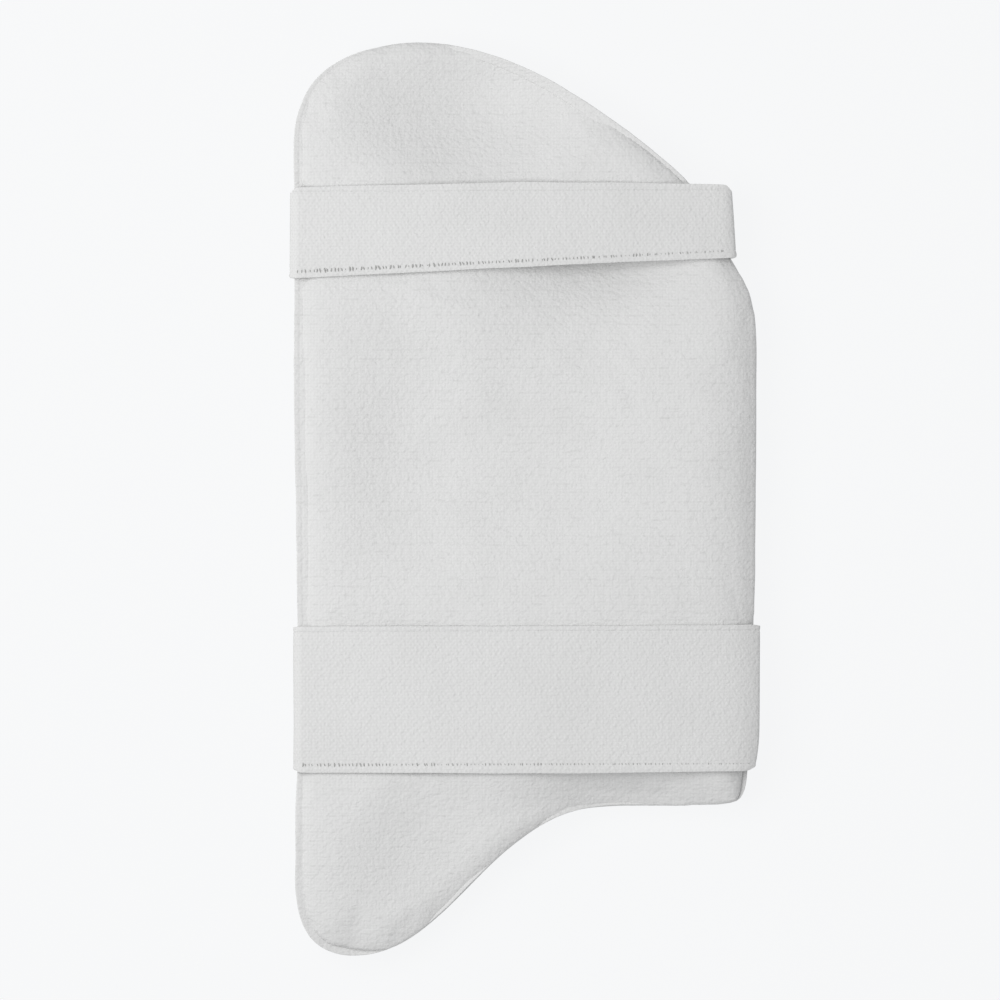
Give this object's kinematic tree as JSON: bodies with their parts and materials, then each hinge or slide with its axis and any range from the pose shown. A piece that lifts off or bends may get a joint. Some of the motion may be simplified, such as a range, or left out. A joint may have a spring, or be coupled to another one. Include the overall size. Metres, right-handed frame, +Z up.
{
  "type": "cricket thigh pad",
  "caption": "Soft curved cricket thigh pad with a sewn edge, lying on its outer face, with two flat elastic straps fastened across its inner face to hold it to the leg.",
  "frame": {"origin": "on the floor, under the middle of the pad's box, with the pad lying on its outer face", "axes": "+Z up, out of the shallow thigh side; +Y along the pad towards its crown at the hip; +X across it"},
  "size_m": [0.2058, 0.4, 0.0328],
  "materials": {
    "cover_cloth": "matt white plain-woven cloth",
    "lip_cloth": "matt white cloth, sewn flat",
    "elastic": "matt white twill-woven elastic",
    "hook_tape": "white hook tape"
  },
  "bodies": {
    "root": {"pad_body": "cover_cloth", "edge_lip": "lip_cloth", "upper_strap": "elastic", "lower_strap": "elastic", "upper_hook_tab": "hook_tape", "lower_hook_tab": "hook_tape"}
  },
  "joints": []
}
